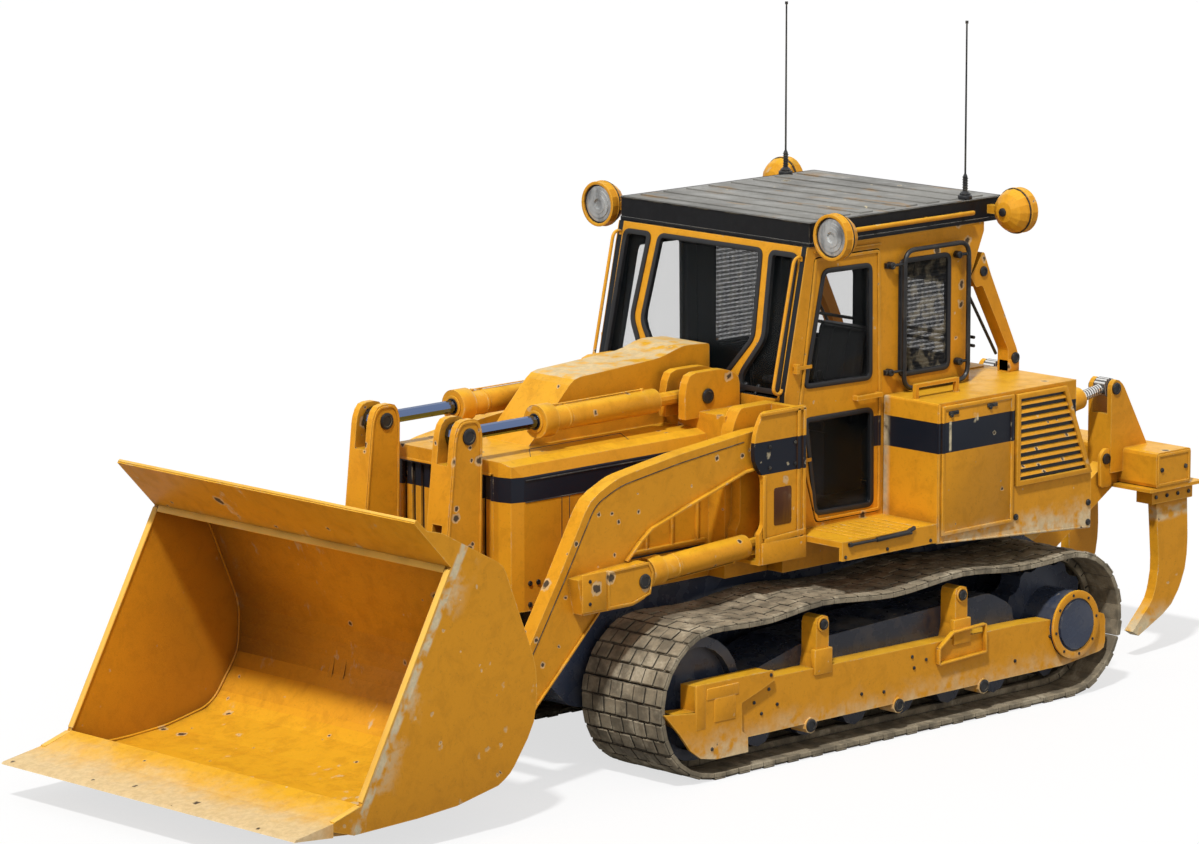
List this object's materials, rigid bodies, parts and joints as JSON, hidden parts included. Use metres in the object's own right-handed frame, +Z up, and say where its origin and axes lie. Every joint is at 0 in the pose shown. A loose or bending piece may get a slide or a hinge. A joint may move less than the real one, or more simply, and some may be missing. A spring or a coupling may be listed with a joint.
{
  "type": "crawler loader with rear ripper",
  "caption": "Tracked loader with a lifting and tipping front bucket, an enclosed cab with hinged doors, and a rear ripper with curved shanks.",
  "frame": {"origin": "on the ground, under the middle of the machine's length and width", "axes": "+X to the machine's left, +Y to its rear, +Z up; the bucket is at -Y"},
  "size_m": [2.9, 9.194, 4.77],
  "materials": {
    "body_paint": "worn safety-yellow enamel with chips and dust",
    "lamp_paint": "yellow lamp shells with clear lenses",
    "undercarriage_paint": "dusty blue-black enamel",
    "black_paint": "satin black",
    "roof_paint": "weathered grey roof with a black rim",
    "track_pads": "dusty brown steel track pads",
    "rod_steel": "dark hard-chromed rods",
    "worn_steel": "paint worn back to pale steel",
    "seat_vinyl": "black vinyl seat"
  },
  "bodies": {
    "chassis": {"main_frame": "undercarriage_paint", "track_left": "track_pads", "track_right": "track_pads", "idler_left": "undercarriage_paint", "idler_right": "undercarriage_paint", "final_drive_left": "undercarriage_paint", "final_drive_right": "undercarriage_paint", "track_frame_left": "undercarriage_paint", "track_frame_right": "undercarriage_paint", "roller_guard_left": "body_paint", "roller_guard_right": "body_paint", "engine_hood": "body_paint", "grille": "body_paint", "engine_block": "undercarriage_paint", "loader_frame": "body_paint", "platform": "body_paint", "cab_side_left": "body_paint", "cab_side_right": "body_paint", "cab_front": "body_paint", "cab_back": "body_paint", "cab_roof": "roof_paint", "operator_seat": "seat_vinyl", "console": "black_paint", "side_box_left": "body_paint", "side_box_right": "body_paint", "rear_deck": "body_paint", "roof_brace_left": "body_paint", "roof_brace_right": "body_paint", "front_lamp_left": "lamp_paint", "front_lamp_right": "lamp_paint", "rear_lamp_left": "lamp_paint", "rear_lamp_right": "lamp_paint", "antenna_left": "black_paint", "antenna_right": "black_paint"},
    "lift_arms": {"lift_arms": "body_paint"},
    "bucket": {"bucket": "body_paint", "cutting_edge": "worn_steel"},
    "tilt_levers": {"tilt_lever_left": "body_paint", "tilt_lever_right": "body_paint"},
    "tilt_links": {"tilt_link_left": "body_paint", "tilt_link_right": "body_paint"},
    "tilt_barrels": {"tilt_barrel_left": "body_paint", "tilt_barrel_right": "body_paint"},
    "tilt_rods": {"tilt_rod_left": "rod_steel", "tilt_rod_right": "rod_steel"},
    "lift_barrels": {"lift_barrel_left": "body_paint", "lift_barrel_right": "body_paint"},
    "lift_rods": {"lift_rod_left": "rod_steel", "lift_rod_right": "rod_steel"},
    "ripper": {"ripper_beam": "body_paint", "ripper_shank_left": "body_paint", "ripper_shank_middle": "body_paint", "ripper_shank_right": "body_paint"},
    "ripper_barrels": {"ripper_barrel_left": "body_paint", "ripper_barrel_right": "body_paint"},
    "ripper_rods": {"ripper_rod_left": "rod_steel", "ripper_rod_right": "rod_steel"},
    "door_left": {"door_left": "body_paint"},
    "door_right": {"door_right": "body_paint"}
  },
  "joints": [
    {"name": "lift", "type": "hinge", "parent": "chassis", "child": "lift_arms", "pos_m": [0, -0.037, 2.07], "axis": [-1, 0, 0], "range_deg": [-2.9, 70]},
    {"name": "bucket_tilt", "type": "hinge", "parent": "lift_arms", "child": "bucket", "pos_m": [0, -2.447, 0.47], "axis": [-1, 0, 0], "range_deg": [-50, 12]},
    {"name": "lever_swing", "type": "hinge", "parent": "lift_arms", "child": "tilt_levers", "pos_m": [0, -2.327, 1.62], "axis": [-1, 0, 0], "range_deg": [-3.1, 12.6]},
    {"name": "link_swing", "type": "hinge", "parent": "tilt_levers", "child": "tilt_links", "pos_m": [0, -2.287, 0.695], "axis": [-1, 0, 0], "range_deg": [-41, 10]},
    {"name": "tilt_barrel_swing", "type": "hinge", "parent": "chassis", "child": "tilt_barrels", "pos_m": [0, -0.067, 2.37], "axis": [-1, 0, 0], "range_deg": [-3.3, 76]},
    {"name": "tilt_rod_slide", "type": "slide", "parent": "tilt_barrels", "child": "tilt_rods", "axis": [0, -1, -0.0046], "range_m": [-0.3, 0.02]},
    {"name": "lift_barrel_swing", "type": "hinge", "parent": "chassis", "child": "lift_barrels", "pos_m": [0, 0.113, 1.42], "axis": [-1, 0, 0], "range_deg": [-2.5, 56.5]},
    {"name": "lift_rod_slide", "type": "slide", "parent": "lift_barrels", "child": "lift_rods", "axis": [0, -0.9987, -0.0503], "range_m": [-0.03, 0.68]},
    {"name": "ripper_lift", "type": "hinge", "parent": "chassis", "child": "ripper", "pos_m": [0, 3.103, 0.8], "axis": [1, 0, 0], "range_deg": [-18, 12]},
    {"name": "ripper_barrel_swing", "type": "hinge", "parent": "chassis", "child": "ripper_barrels", "pos_m": [0, 3.013, 1.78], "axis": [1, 0, 0], "range_deg": [-18.5, 12.5]},
    {"name": "ripper_rod_slide", "type": "slide", "parent": "ripper_barrels", "child": "ripper_rods", "axis": [0, 0.986, 0.1669], "range_m": [-0.21, 0.31]},
    {"name": "door_left_swing", "type": "hinge", "parent": "chassis", "child": "door_left", "pos_m": [0.935, 0.378, 2.4], "axis": [0, 0, -1], "range_deg": [0, 90]},
    {"name": "door_right_swing", "type": "hinge", "parent": "chassis", "child": "door_right", "pos_m": [-0.935, 0.378, 2.4], "axis": [0, 0, 1], "range_deg": [0, 90]}
  ],
  "couplings": [
    {"joint": "lever_swing", "follows": "bucket_tilt", "ratio": -0.25},
    {"joint": "link_swing", "follows": "bucket_tilt", "ratio": 0.8017},
    {"joint": "tilt_barrel_swing", "follows": "lift", "ratio": 1.0784},
    {"joint": "tilt_rod_slide", "follows": "lift", "m_per_rad": -0.23817},
    {"joint": "lift_barrel_swing", "follows": "lift", "ratio": 0.778},
    {"joint": "lift_rod_slide", "follows": "lift", "m_per_rad": 0.526},
    {"joint": "ripper_barrel_swing", "follows": "ripper_lift", "ratio": 1.02},
    {"joint": "ripper_rod_slide", "follows": "ripper_lift", "m_per_rad": -0.965}
  ]
}
